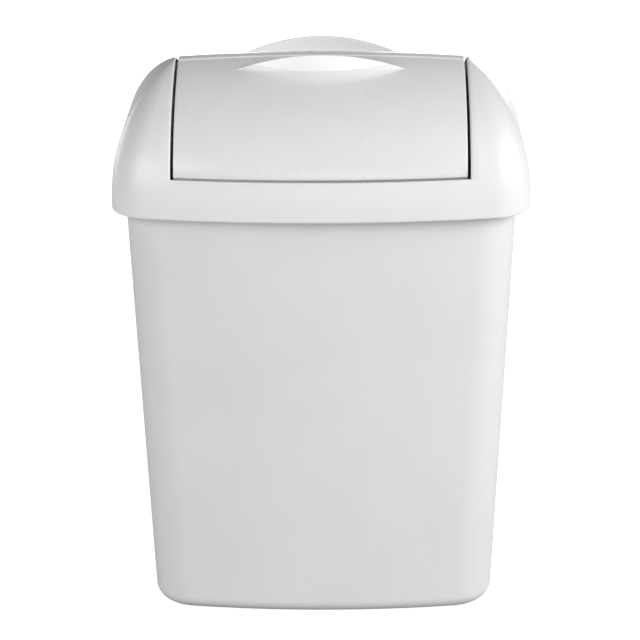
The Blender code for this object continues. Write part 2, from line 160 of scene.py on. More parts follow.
# Height above the flap from which a lip's outer face takes a paler copy of the flap plastic, a
# painted highlight
GRIP_HIGHLIGHT_FROM = 0.0055
GRIP_HIGHLIGHT_REACH = 0.01
PANEL_COLUMNS = 116
SPINE_COLUMNS = 40
SPINE_ROWS = 20
# Points down a panel's section, from the ridge round to the inside
RIDGE_STEPS = 10
INNER_FOOT_STEPS = 5
GRIP_FACE_STEPS = 4
CREST_STEPS = 6
OUTER_FOOT_STEPS = 12
FACE_STEPS = 36
SKIN_STEPS = 4
TUCK_STEPS = 6
INSIDE_STEPS = 30
# Rib under the spine strip
SPINE_RIB_END_X = 0.104
SPINE_RIB_HALF_THICKNESS = 0.002
SPINE_RIB_HEIGHT = 0.007
# Points nearer than this are one, and edges sharper than this are drawn sharp
MERGE = 0.000002
SHARP_ANGLE = math.radians(35)


def mesh_of(name, bm):
    """Turn a bmesh into a mesh: doubles merged, faces outward, sharp only past an angle."""
    bmesh.ops.remove_doubles(bm, verts=bm.verts, dist=MERGE)
    bmesh.ops.recalc_face_normals(bm, faces=bm.faces)
    mesh = bpy.data.meshes.new(name)
    bm.to_mesh(mesh)
    bm.free()
    mesh.shade_smooth()
    mesh.set_sharp_from_angle(angle=SHARP_ANGLE)
    return mesh


def add_grid(bm, rows, cyclic=False):
    """Skin rows of points that have equal counts."""
    lines = [[bm.verts.new(point) for point in row] for row in rows]
    for low, high in zip(lines, lines[1:]):
        count = len(low)
        for i in range(count if cyclic else count - 1):
            j = (i + 1) % count
            bm.faces.new((low[i], low[j], high[j], high[i]))
    return lines


def add_loft(bm, loops):
    """Closed body through closed loops, capped at both ends."""
    lines = add_grid(bm, loops, cyclic=True)
    bm.faces.new(reversed(lines[0]))
    bm.faces.new(lines[-1])


def close_between(bm, outside, inside):
    """Triangles between two chains of vertices that run the same way."""
    i = j = 0
    while i + j < len(outside) + len(inside) - 2:
        go_out = j == len(inside) - 1
        if not go_out and i < len(outside) - 1:
            reach_out = (outside[i + 1].co - inside[j].co).length
            go_out = reach_out <= (outside[i].co - inside[j + 1].co).length
        if go_out:
            bm.faces.new((outside[i], outside[i + 1], inside[j]))
            i += 1
        else:
            bm.faces.new((outside[i], inside[j + 1], inside[j]))
            j += 1


def arc_steps(steps, first=0):
    """(cosine, sine) at equal steps of a quarter circle."""
    for i in range(first, steps + 1):
        angle = math.radians(90 * i / steps)
        yield math.cos(angle), math.sin(angle)


def show(name, mesh, material, body, slot, *nodes):
    """Put a piece on its body, in place of the CAD nodes named."""
    piece = bpy.data.objects.new(name, mesh)
    bpy.context.scene.collection.objects.link(piece)
    mesh.materials.append(material)
    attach(piece, body)
    if nodes:
        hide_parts(*nodes)
    return piece


# ---------------------------------------------------------------- plan of the bin


def plan_point(turn, half_width, half_depth, inset=0.0):
    """A point of the plan's front right quarter. turn runs 0-1 along the bow, 1-2 round the
    corner and 2-3 along the side to its middle."""
    bow, corner = BOW_RADIUS - inset, CORNER_RADIUS - inset
    width, depth = half_width - inset, half_depth - inset
    centre = bow - depth
    corner_x = width - corner
    lean = math.asin(corner_x / (bow - corner))
    corner_y = centre - (bow - corner) * math.cos(lean)
    if turn <= 1:
        angle = lean * turn
        return bow * math.sin(angle), centre - bow * math.cos(angle)
    if turn <= 2:
        angle = lean + (math.pi / 2 - lean) * (turn - 1)
        return corner_x + corner * math.sin(angle), corner_y - corner * math.cos(angle)
    return width, corner_y * (3 - turn)


def plan_turn(x, half_width, inset=0.0):
    """The turn at which the plan's front right quarter is x wide."""
    bow, corner = BOW_RADIUS - inset, CORNER_RADIUS - inset
    corner_x = half_width - inset - corner
    lean = math.asin(corner_x / (bow - corner))
    if x <= bow * math.sin(lean):
        return math.asin(x / bow) / lean
    share = min((x - corner_x) / corner, 1.0)
    return 1 + (math.asin(share) - lean) / (math.pi / 2 - lean)


def quarter_turns():
    turns = [i / BOW_STEPS for i in range(BOW_STEPS)]
    turns += [1 + i / CORNER_STEPS for i in range(CORNER_STEPS)]
    turns += [2 + i / SIDE_STEPS for i in range(SIDE_STEPS + 1)]
    return turns


def whole_plan(quarter):
    """Four mirrored copies of a quarter, anticlockwise from the front's middle."""
    right = quarter + [(x, -y) for x, y in reversed(quarter[:-1])]
    return right + [(-x, y) for x, y in reversed(right[1:-1])]


def body_loop(inset, height):
    half_width = BASE_HALF_WIDTH + WIDTH_DRAFT * height
    half_depth = BASE_HALF_DEPTH + DEPTH_DRAFT * height
    quarter = [plan_point(turn, half_width, half_depth, inset) for turn in quarter_turns()]
    return [Vector((x, y, height)) for x, y in whole_plan(quarter)]


def quarter_round(centre_inset, centre_z, radius, start, steps=5):
    """(inset, height) points of a quarter circle. 0 degrees faces out and 90 faces up."""
    for i in range(steps + 1):
        angle = math.radians(start + 90 * i / steps)
        yield centre_inset - radius * math.cos(angle), centre_z + radius * math.sin(angle)


# ---------------------------------------------------------------- dome of the hood and flap


def ridge_height(x):
    return RIDGE_Z - RIDGE_CROWN * (x / SHOULDER_X) ** 2


def depth_share(angle):
    cosine = math.cos(angle)
    return math.copysign(abs(cosine) ** DEPTH_POWER, cosine)


def rise_share(angle):
    return math.sin(angle) ** RISE_POWER


def rise_angle(share):
    return math.asin(min(share, 1.0) ** (1 / RISE_POWER))


def dome_point(x, y, angle, inset=0.0):
    """Point above plan point (x, y) of the rim. Angle 0 is the rim and 90 degrees is the ridge."""
    reach = min(abs(x), SHOULDER_X)
    rise = ridge_height(reach) - inset - RIM_Z
    share = depth_share(angle)
    across = reach + (abs(x) - reach) * share
    return Vector((math.copysign(across, x), y * share, RIM_Z + rise * rise_share(angle)))


def rim_depth(x):
    return RIM_HALF_DEPTH - BOW_RADIUS + math.sqrt(BOW_RADIUS**2 - x**2)


def depth_angle(x, y, inset=0.0):
    share = min(max(y / (rim_depth(x) - inset), 0.0), 1.0)
    return math.acos(share ** (1 / DEPTH_POWER))


def dome_height(x, y, inset=0.0):
    return dome_point(x, 0, depth_angle(x, y, inset), inset).z


def height_angle(x, height, inset=0.0):
    """Angle at which the dome above rim point x reaches a height."""
    rise = ridge_height(min(abs(x), SHOULDER_X)) - inset - RIM_Z
    return rise_angle((height - RIM_Z) / rise)


# ---------------------------------------------------------------- hood


def hood_plan(inset):
    """The hood's whole plan, with columns across the windows and round the cheeks."""
    edge = plan_turn(WINDOW_X + WINDOW_EDGE, RIM_HALF_WIDTH)
    columns = WINDOW_COLUMNS // 2
    turns = [edge * i / columns for i in range(columns)]
    turns += [edge + (SIDE_MIDDLE - edge) * i / CHEEK_COLUMNS for i in range(CHEEK_COLUMNS + 1)]
    return whole_plan([plan_point(t, RIM_HALF_WIDTH, RIM_HALF_DEPTH, inset) for t in turns])


def flare(x, z):
    """How far the band turns out at a height, none beside the window."""
    fade = (FLARE_FADE[1] - abs(x)) / (FLARE_FADE[1] - FLARE_FADE[0])
    share = max(z - LIP_Z + FLARE_HEIGHT, 0.0) / FLARE_HEIGHT
    return FLARE * min(max(fade, 0.0), 1.0) * share**2


def band_rows(inset, low_z, high_z):
    """Rows of the hood's band between two heights, all the way round."""
    plan = hood_plan(inset)
    for i in range(BAND_ROWS + 1):
        height = low_z + (high_z - low_z) * i / BAND_ROWS
        row = [dome_point(x, y, height_angle(x, height, inset), inset) for x, y in plan]
        for point in row:
            point.y += math.copysign(flare(point.x, height), point.y)
        yield row


def cheek_chain(side, inset, edge_x, low_z):
    """Rows of a cheek from low_z up to the crest, each from its front edge to its rear edge."""
    width = RIM_HALF_WIDTH - inset
    start = height_angle(SHOULDER_X, low_z, inset)
    last_share = (edge_x - SHOULDER_X) / (width - SHOULDER_X)
    end = math.acos(last_share ** (1 / DEPTH_POWER))
    for i in range(CHEEK_ROWS + 1):
        angle = start + (end - start) * (i / CHEEK_ROWS)
        edge = min(SHOULDER_X + (edge_x - SHOULDER_X) / depth_share(angle), width)
        turn = plan_turn(edge, RIM_HALF_WIDTH, inset)
        front = []
        for j in range(CHEEK_COLUMNS + 1):
            column = turn + (SIDE_MIDDLE - turn) * j / CHEEK_COLUMNS
            front.append(plan_point(column, RIM_HALF_WIDTH, RIM_HALF_DEPTH, inset))
        row = front + [(x, -y) for x, y in reversed(front[:-1])]
        yield [dome_point(side * x, y, angle, inset) for x, y in row]


def cheek_border(rows):
    """The cheek's window edge: up its front, over the crest and down its rear."""
    front = [row[0] for row in rows[:-1]]
    rear = [row[-1] for row in reversed(rows[:-1])]
    return front + rows[-1] + rear


def inward(chain):
    """Unit vectors in the YZ plane that point into the arch from each point of its border."""
    turned = []
    for i in range(len(chain)):
        before, after = chain[max(i - 1, 0)], chain[min(i + 1, len(chain) - 1)]
        along = after - before
        turned.append(Vector((0, along.z, -along.y)).normalized())
    return turned


def add_cheek(bm, side):
    outer = list(cheek_chain(side, 0.0, WINDOW_X + WINDOW_EDGE, BAND_TOP))
    add_grid(bm, outer)
    border = cheek_border(outer)
    normals = inward(border)
    strips = []
    for cosine, sine in arc_steps(5):
        sink = WINDOW_EDGE * (1 - cosine)
        x = side * (WINDOW_X + WINDOW_EDGE * (1 - sine))
        strips.append([Vector((x, p.y, p.z)) + n * sink for p, n in zip(border, normals)])
    strips.append([p + n * EDGE_RETURN for p, n in zip(strips[-1], normals)])
    add_grid(bm, strips)
    inner = list(cheek_chain(side, WALL, WINDOW_X + CHEEK_WALL / 2, LIP_Z - WINDOW_EDGE))
    add_grid(bm, inner)
    return border, normals


def arch_outline(border, normals, sink, low_z):
    """(y, z) outline of the arch inside a cheek's border, with a flat foot."""
    arch = [(p.y + n.y * sink, p.z + n.z * sink) for p, n in zip(border, normals)]
    arch = [(y, z) for y, z in arch if z > low_z]
    return [(arch[0][0], low_z)] + arch + [(arch[-1][0], low_z)]


def circle(radius, centre_z, steps=40):
    turns = [2 * math.pi * i / steps for i in range(steps)]
    return [(radius * math.cos(t), centre_z + radius * math.sin(t)) for t in turns]


def add_plate(bm, outlines, low_x, high_x):
    """Flat plate standing across X, from (y, z) outlines: its edge first, then any holes."""
    curve = bpy.data.curves.new("outline", "CURVE")
    curve.dimensions = "2D"
    curve.fill_mode = "BOTH"
    curve.extrude = (high_x - low_x) / 2
    for outline in outlines:
        spline = curve.splines.new("POLY")
        spline.points.add(len(outline) - 1)
        for point, (y, z) in zip(spline.points, outline):
            point.co = (y, z, 0, 1)
        spline.use_cyclic_u = True
    guide = bpy.data.objects.new("outline", curve)
    bpy.context.scene.collection.objects.link(guide)
    bpy.context.view_layer.update()
    graph = bpy.context.evaluated_depsgraph_get()
    flat = bpy.data.meshes.new_from_object(guide.evaluated_get(graph))
    bpy.data.objects.remove(guide, do_unlink=True)
    # The flat curve's x, y and z become y, z and x
    stand = Matrix(((0, 0, 1, 0), (1, 0, 0, 0), (0, 1, 0, 0), (0, 0, 0, 1)))
    flat.transform(Matrix.Translation(((low_x + high_x) / 2, 0, 0)) @ stand)
    bm.from_mesh(flat)
    bpy.data.meshes.remove(flat)


def add_box(bm, low, high):
    corners = bmesh.ops.create_cube(bm, size=1)["verts"]
    low, high = Vector(low), Vector(high)
    for vert in corners:
        vert.co = [(low[i] + high[i]) / 2 + vert.co[i] * (high[i] - low[i]) for i in range(3)]


def add_lip(bm, side):
    """The lip's rounded top edge and inner face along the window, front or rear."""
    edge_turn = plan_turn(WINDOW_X + WINDOW_EDGE, RIM_HALF_WIDTH)
    columns = WINDOW_COLUMNS // 2
    loops = []
    for i in range(-columns, columns + 1):
        turn = edge_turn * abs(i) / columns
        x, y = plan_point(turn, RIM_HALF_WIDTH, RIM_HALF_DEPTH)
        x = math.copysign(x, i)
        line = []
        for cosine, sine in arc_steps(8):
            z = LIP_Z - LIP_ROUND_HEIGHT * (1 - sine)
            depth = abs(dome_point(x, y, height_angle(x, z)).y) + flare(x, z)
            line.append(Vector((x, side * (depth - LIP_ROUND_DEPTH * (1 - cosine)), z)))
        inner_y = abs(dome_point(x, y, height_angle(x, LIP_Z)).y) - WALL
        for cosine, sine in arc_steps(4):
            depth = inner_y + EDGE * (1 - sine)
            line.append(Vector((x, side * depth, LIP_Z - EDGE * (1 - cosine))))
        line.append(Vector((x, side * inner_y, LIP_Z - LIP_FACE)))
        loops.append(line)
    add_grid(bm, loops)


def make_hood(material):
    bm = bmesh.new()
    outer = list(band_rows(0.0, RIM_Z + WINDOW_EDGE, BAND_TOP))
    add_grid(bm, outer, cyclic=True)
    rim = []
    for inset, height in rim_profile():
        rim.append([Vector((x, y, height)) for x, y in hood_plan(inset)])
    add_grid(bm, [outer[0]] + rim, cyclic=True)
    add_grid(bm, list(band_rows(WALL, RIM_Z + EDGE, LIP_Z - BAND_INSIDE_STOP)), cyclic=True)
    for side in (-1, 1):
        add_lip(bm, side)
        border, normals = add_cheek(bm, side)
        wall = arch_outline(border, normals, ARCH_SINK, RING_TOP + GAP)
        low_x, high_x = sorted((side * WINDOW_X, side * (WINDOW_X + CHEEK_WALL)))
        bore = circle((BUSH_HIGH.z - BUSH_LOW.z) / 2 - BORE_INSET, PIVOT_Z)
        add_plate(bm, [wall, bore], low_x, high_x)
        for y in (-RIB_Y, RIB_Y):
            low_x, high_x = sorted((side * (WINDOW_X + RIB_HALF_THICKNESS), side * RIB_END_X))
            low = (low_x, y - RIB_HALF_THICKNESS, RING_TOP + GAP)
            add_box(bm, low, (high_x, y + RIB_HALF_THICKNESS, RIB_TOP))
    show("hood_shell", mesh_of("hood_shell", bm), material, "hood", "hood_plastic", "hood")


def rim_profile():
    """(inset, height) of the rim's rounded foot, from its outer face round to its inner face."""
    for cosine, sine in arc_steps(5, first=1):
        yield WINDOW_EDGE * (1 - cosine), RIM_Z + WINDOW_EDGE * (1 - sine)
    for cosine, sine in arc_steps(5):
        yield WALL - EDGE * (1 - sine), RIM_Z + EDGE * (1 - cosine)


# ---------------------------------------------------------------- body, ring and pads


def make_body(material):
    profile = []
    for cosine, sine in arc_steps(12):
        profile.append((BASE_FILLET * (1 - sine), BASE_RISE + BASE_FILLET * (1 - cosine)))
    foot = profile[-1][1]
    under = BODY_TOP - FLANGE_DEPTH
    for i in range(1, OUTER_WALL_ROWS):
        profile.append((0.0, foot + (under - foot) * i / OUTER_WALL_ROWS))
    profile += [(inset, under + rise) for inset, rise in FLANGE_ROOT]
    profile += list(quarter_round(-FLANGE_REACH + EDGE, under + EDGE, EDGE, -90))
    profile += list(quarter_round(-FLANGE_REACH + EDGE, BODY_TOP - EDGE, EDGE, 0))
    profile += [(WALL - EDGE, BODY_TOP), (WALL - EDGE * 0.3, BODY_TOP - EDGE * 0.3)]
    profile.append((WALL, BODY_TOP - EDGE))
    top = BODY_TOP - EDGE
    floor = BASE_RISE + FLOOR_THICKNESS
    for i in range(1, INNER_WALL_ROWS):
        profile.append((WALL, top - (top - floor - INNER_FILLET) * i / INNER_WALL_ROWS))
    for cosine, sine in arc_steps(8):
        profile.append((WALL + INNER_FILLET * (1 - cosine), floor + INNER_FILLET * (1 - sine)))
    bm = bmesh.new()
    add_loft(bm, [body_loop(inset, height) for inset, height in profile])
    show("body_shell", mesh_of("body_shell", bm), material, "bin", "body_plastic", "bin_body")


def make_ring(material):
    """Flat ring on the body's flange, with a lip that hangs inside the body."""
    hang = WALL + GAP
    inner = hang + RING_WALL
    seat = BODY_TOP + GAP
    profile = list(quarter_round(-FLANGE_REACH + EDGE, seat + EDGE, EDGE, -90))
    profile += list(quarter_round(-FLANGE_REACH + EDGE, RING_TOP - EDGE, EDGE, 0))
    for cosine, sine in arc_steps(6):
        profile.append((inner - RING_ROUND * (1 - sine), RING_TOP - RING_ROUND * (1 - cosine)))
    profile += [(inner, RING_LOW.z + EDGE), (inner - EDGE, RING_LOW.z), (hang, RING_LOW.z)]
    profile += [(hang, seat - EDGE / 2), (hang - EDGE, seat)]
    bm = bmesh.new()
    loops = [body_loop(inset, height) for inset, height in profile]
    add_grid(bm, loops + [loops[0]], cyclic=True)
    mesh = mesh_of("liner_ring", bm)
    show("liner_ring_shell", mesh, material, "liner_ring", "ring_plastic", "bag_ring")


def turned(bm, profile, centre, steps=48):
    """Turned piece about a vertical axis from (radius, height) points."""
    turns = [2 * math.pi * i / steps for i in range(steps)]
    rows = []
    for radius, height in profile:
        ring = [Vector((radius * math.cos(t), radius * math.sin(t), height)) for t in turns]
        rows.append([Vector(centre) + point for point in ring])
    add_grid(bm, rows, cyclic=True)


def make_pads(material):
    for end in ("front", "rear"):
        for hand in ("left", "right"):
            node = f"foot_pad_{end}_{hand}"
            low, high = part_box(node)
            radius, top = (high.x - low.x) / 2, high.z - low.z
            bevel = PAD_GROOVE_SIZE
            profile = [(PAD_CENTRE, top), (radius - bevel, top), (radius, top - bevel)]
            profile += [(radius, EDGE), (radius - EDGE / 3, EDGE / 3), (radius - EDGE, 0)]
            for groove in PAD_GROOVE_RADII:
                profile += [(groove + bevel, 0), (groove, bevel), (groove - bevel, 0)]
            profile.append((PAD_CENTRE, 0))
            bm = bmesh.new()
            turned(bm, profile, ((low.x + high.x) / 2, (low.y + high.y) / 2, low.z))
            show(node + "_rubber", mesh_of(node, bm), material, "bin", "pad_rubber", node)


# ---------------------------------------------------------------- flap


def tuck_radius(x):
    """Radius about the pivot at which the flap passes the hood's lip, at x."""
    lip_depth = rim_depth(x) * depth_share(height_angle(x, LIP_Z)) - WALL
    return math.hypot(lip_depth, PIVOT_Z - LIP_Z) - LIP_CLEARANCE


def flap_share(x):
    """Share of the dome's depth that the recessed flap keeps at x."""
    return 1 - FLAP_RECESS / rim_depth(x)


def flap_height(x, y):
    """Height of the flap's outside where it is y deep at x, above the drawn-in edge."""
    return dome_height(x, y / flap_share(x))


def draw_in(x, z):
    """How much further in a point of the flap lies, for the lip it has to pass."""
    lip_depth = rim_depth(x) * flap_share(x) * depth_share(height_angle(x, LIP_Z))
    most = lip_depth - math.sqrt(tuck_radius(x) ** 2 - (PIVOT_Z - LIP_Z) ** 2)
    near = max(LIP_Z + DRAW_IN_HEIGHT - z, 0.0) / DRAW_IN_HEIGHT
    return most * near**2


def flap_point(x, angle, inset=0.0):
    """(y, z) of the flap's outside, or of its inside with an inset, at a dome angle."""
    point = dome_point(x, (rim_depth(x) - inset) * flap_share(x), angle, inset)
    return Vector((point.y - draw_in(x, point.z), point.z))


def bezier(start, corner, end, steps):
    """Points after start on the curve that leaves start and reaches end along the corner's arms."""
    points = []
    for i in range(1, steps + 1):
        t = i / steps
        points.append(start * (1 - t) ** 2 + corner * 2 * t * (1 - t) + end * t**2)
    return points


def between(start, end, steps):
    return [start.lerp(end, i / steps) for i in range(1, steps + 1)]


def dome_run(x, start_y, end_y, steps):
    """Points after start_y along the dome's section at x."""
    points = []
    for i in range(1, steps + 1):
        y = start_y + (end_y - start_y) * i / steps
        points.append(Vector((y, flap_height(x, y))))
    return points


def grip_foot(x, crest, slope):
    """Where a face of the lip, leaning by slope, comes down to the dome."""
    y = crest.x
    for _ in range(FOOT_TRIES):
        y = crest.x + (crest.y - flap_height(x, y)) * slope
    return Vector((y, flap_height(x, y)))


def crest_depth(x):
    """How far forward the grip lip's crest lies at x."""
    return GRIP_CREST_Y - GRIP_DRAW_IN * min((x / GRIP_HALF_CHORD) ** 2, 1.0)


def outside_section(x):
    """(y, z) points down a panel's outside: ridge edge, grip lip, its foot, face, edge, tongue."""
    fall = (x / GRIP_HALF_CHORD) ** 2
    crest_y = crest_depth(x)
    inner_y = crest_y - GRIP_THICKNESS
    dome_z = flap_height(x, crest_y)
    lift = max(GRIP_CREST_Z - GRIP_FALL * fall - dome_z, 0.0)
    round_off = min(GRIP_THICKNESS / 2, lift)
    outer_top = Vector((crest_y, dome_z + lift - round_off))
    inner_top = Vector((inner_y, max(outer_top.y, flap_height(x, inner_y))))
    outer_foot = grip_foot(x, outer_top, GRIP_OUTER_SLOPE)
    inner_foot = grip_foot(x, inner_top, -GRIP_INNER_SLOPE)
    outer_room = GRIP_LEAST_FOOT + GRIP_OUTER_FOOT * lift
    inner_room = GRIP_LEAST_FOOT + GRIP_INNER_FOOT * lift
    rise_out = min(outer_room, (outer_top - outer_foot).length * FOOT_SHARE)
    rise_in = min(inner_room, (inner_top - inner_foot).length * FOOT_SHARE)
    up_out = (outer_top - outer_foot).normalized() * rise_out if lift > 0 else Vector((0, 0))
    up_in = (inner_top - inner_foot).normalized() * rise_in if lift > 0 else Vector((0, 0))
    start_y = SPINE_HALF_DEPTH
    points = [Vector((start_y, flap_height(x, start_y)))]
    inner_end = inner_foot.x - inner_room
    points += dome_run(x, start_y, inner_end, RIDGE_STEPS)
    points += bezier(points[-1], inner_foot, inner_foot + up_in, INNER_FOOT_STEPS)
    points += between(points[-1], inner_top, GRIP_FACE_STEPS)
    for i in range(1, CREST_STEPS + 1):
        angle = math.radians(180 * i / CREST_STEPS)
        point = inner_top.lerp(outer_top, (1 - math.cos(angle)) / 2)
        points.append(point + Vector((0, round_off * math.sin(angle))))
    points += between(points[-1], outer_foot + up_out, GRIP_FACE_STEPS)
    outer_end = outer_foot.x + outer_room
    outer_point = Vector((outer_end, flap_height(x, outer_end)))
    points += bezier(points[-1], outer_foot, outer_point, OUTER_FOOT_STEPS)
    start = depth_angle(x, outer_end / flap_share(x))
    turn = height_angle(x, LIP_Z + SKIN_STOP + SKIN_ROUND)
    for i in range(1, FACE_STEPS + 1):
        points.append(flap_point(x, start + (turn - start) * i / FACE_STEPS))
    corner = points[-1] - Vector((SKIN_ROUND * SKIN_LEAN, SKIN_ROUND))
    points += bezier(points[-1], corner, corner - Vector((SKIN_ROUND, 0)), SKIN_STEPS)
    tongue = flap_point(x, height_angle(x, LIP_Z + SKIN_STOP)) - Vector((TONGUE_SINK, 0))
    return points + [tongue] + tuck_arc(tongue)


def tuck_arc(last):
    """Points after last on the arc about the pivot that the tucked edge follows."""
    radius = math.hypot(last.x, last.y - PIVOT_Z)
    begin = math.atan2(PIVOT_Z - last.y, last.x)
    swing = TUCK_LENGTH / radius
    points = []
    for i in range(1, TUCK_STEPS + 1):
        angle = begin + swing * i / TUCK_STEPS
        points.append(Vector((radius * math.cos(angle), PIVOT_Z - radius * math.sin(angle))))
    return points


def inside_section(x):
    """(y, z) points up a panel's inside, from its tucked edge to the ridge."""
    turn = height_angle(x, LIP_Z, WALL)
    top = depth_angle(x, SPINE_HALF_DEPTH / flap_share(x), WALL)
    line = []
    for i in range(INSIDE_STEPS + 1):
        line.append(flap_point(x, top + (turn - top) * i / INSIDE_STEPS, WALL))
    line += tuck_arc(line[-1])
    return line[::-1]


def shrink(loop, distance):
    """Move a closed loop of (y, z) points in by a distance."""
    moved = []
    for i, point in enumerate(loop):
        along = loop[(i + 1) % len(loop)] - loop[i - 1]
        normal = Vector((along.y, -along.x)).normalized()
        moved.append(point + normal * distance)
    return moved


def panel_loop(x, side, sink=0.0):
    loop = outside_section(x) + inside_section(x)
    if sink:
        loop = shrink(loop, sink)
    return [Vector((x, side * point.x, point.y)) for point in loop]


def panel_stations():
    """(x, sink) of each section across a panel, with rounded side edges."""
    flat = SHOULDER_X - PANEL_EDGE
    middle = [(flat * (2 * i / PANEL_COLUMNS - 1), 0.0) for i in range(PANEL_COLUMNS + 1)]
    right = []
    for cosine, sine in arc_steps(4, first=1):
        right.append((flat + PANEL_EDGE * sine, PANEL_EDGE * (1 - cosine)))
    left = [(-x, sink) for x, sink in reversed(right)]
    return left + middle + right


def make_panels(material, highlight_material):
    for name, side in (("flap_front_panel", -1), ("flap_rear_panel", 1)):
        bm = bmesh.new()
        loops = [panel_loop(x, side, sink) for x, sink in panel_stations()]
        lines = add_grid(bm, loops, cyclic=True)
        outside_count = len(outside_section(0))
        for end in (lines[0], lines[-1]):
            close_between(bm, end[:outside_count], end[outside_count:][::-1])
        # The lip's outer faces high above the flap take the paler second material: a painted
        # highlight
        for face in bm.faces:
            middle = face.calc_center_median()
            ground = flap_height(middle.x, min(abs(middle.y), GRIP_CREST_Y + GRIP_HIGHLIGHT_REACH))
            outer = abs(middle.y) > crest_depth(middle.x) - GRIP_THICKNESS / 4
            if outer and middle.z > ground + GRIP_HIGHLIGHT_FROM:
                face.material_index = 1
        panel = show(name + "_shell", mesh_of(name, bm), material, "flap", "flap_plastic", name)
        panel.data.materials.append(highlight_material)


def spine_loop(x):
    half = SPINE_HALF_DEPTH - GAP
    top = []
    reach = SPINE_ROWS // 2
    for i in range(-reach, reach + 1):
        y = (half - EDGE) * i / reach
        top.append(Vector((y, dome_height(x, abs(y)) + SPINE_RAISE)))
    side = dome_height(x, half)
    shoulder = Vector((-half + EDGE * 0.3, side + SPINE_RAISE * 0.7))
    left = [Vector((-half, side - WALL)), Vector((-half, side)), shoulder]
    right = [Vector((-p.x, p.y)) for p in reversed(left)]
    return [Vector((x, p.x, p.y)) for p in left + top + right]


def make_spine(material):
    bm = bmesh.new()
    places = [SHOULDER_X * (2 * i / SPINE_COLUMNS - 1) for i in range(SPINE_COLUMNS + 1)]
    add_loft(bm, [spine_loop(x) for x in places])
    rib_top = ridge_height(SPINE_RIB_END_X) - WALL / 2
    low = (-SPINE_RIB_END_X, -SPINE_RIB_HALF_THICKNESS, rib_top - WALL - SPINE_RIB_HEIGHT)
    add_box(bm, low, (SPINE_RIB_END_X, SPINE_RIB_HALF_THICKNESS, rib_top))
    mesh = mesh_of("flap_spine", bm)
    show("flap_spine_strip", mesh, material, "flap", "flap_plastic", "flap_spine")


# ---------------------------------------------------------------- materials

SPECK_TONE = (0.33, 0.32, 0.31)
SMEAR_TONE = (0.55, 0.55, 0.54)
# Painted shade at the body's foot: its colour and the height where it fades out
FOOT_SHADE_TONE = (0.12, 0.12, 0.12)
FOOT_SHADE_HEIGHT = 0.012
PLASTIC_IOR = 1.49


class Nodes:
    """Short helpers to build one node material."""

    def __init__(self, name):
        self.material = bpy.data.materials.new(name)
        self.material.use_nodes = True
        self.tree = self.material.node_tree
        self.shader = self.tree.nodes["Principled BSDF"]
        self.place = self.tree.nodes.new("ShaderNodeTexCoord").outputs["Object"]

    def node(self, kind, **settings):
        made = self.tree.nodes.new(kind)
        for key, value in settings.items():
            setattr(made, key, value)
        return made

    def link(self, source, target):
        self.tree.links.new(source, target)

    def scaled(self, scale):
        mapping = self.node("ShaderNodeMapping")
        mapping.inputs["Scale"].default_value = scale
        self.link(self.place, mapping.inputs["Vector"])
        return mapping.outputs["Vector"]

    def noise(self, scale, detail=4.0, roughness=0.55, stretch=(1, 1, 1)):
        made = self.node("ShaderNodeTexNoise")
        made.inputs["Scale"].default_value = scale
        made.inputs["Detail"].default_value = detail
        made.inputs["Roughness"].default_value = roughness
        self.link(self.scaled(stretch), made.inputs["Vector"])
        return made.outputs["Fac"]

    def band(self, source, low, high, to_low, to_high):
        """Map a range of a value smoothly on to another range."""
        made = self.node("ShaderNodeMapRange", interpolation_type="SMOOTHSTEP")
        ends = zip(("From Min", "From Max", "To Min", "To Max"), (low, high, to_low, to_high))
        for socket, value in ends:
            made.inputs[socket].default_value = value
        self.link(source, made.inputs["Value"])
        return made.outputs["Result"]

    def math(self, operation, first, second):
        made = self.node("ShaderNodeMath", operation=operation)
        for socket, value in zip(made.inputs, (first, second)):
            if isinstance(value, (int, float)):
                socket.default_value = value
            else:
                self.link(value, socket)
        return made.outputs[0]

    def mix(self, share, first, second):
        made = self.node("ShaderNodeMix", data_type="RGBA")
        self.link(share, made.inputs["Factor"])
        for socket, value in ((made.inputs[6], first), (made.inputs[7], second)):
            if isinstance(value, tuple):
                socket.default_value = (*value, 1)
            else:
                self.link(value, socket)
        return made.outputs[2]

    def height(self):
        split = self.node("ShaderNodeSeparateXYZ")
        self.link(self.place, split.inputs[0])
        return split.outputs["Z"]

    def specks(self, scale, radius, share):
        """Small scattered spots, 1 inside and 0 outside. share is the part of cells with one."""
        made = self.node("ShaderNodeTexVoronoi")
        made.inputs["Scale"].default_value = scale
        self.link(self.place, made.inputs["Vector"])
        spot = self.band(made.outputs["Distance"], radius * 0.5, radius, 1, 0)
        pick = self.node("ShaderNodeSeparateColor")
        self.link(made.outputs["Color"], pick.inputs[0])
        chosen = self.math("LESS_THAN", pick.outputs[0], share)
        return self.math("MULTIPLY", spot, chosen)

    def bump(self, source, strength, distance, before=None):
        made = self.node("ShaderNodeBump")
        made.inputs["Strength"].default_value = strength
        made.inputs["Distance"].default_value = distance
        self.link(source, made.inputs["Height"])
        if before:
            self.link(before, made.inputs["Normal"])
        return made.outputs["Normal"]


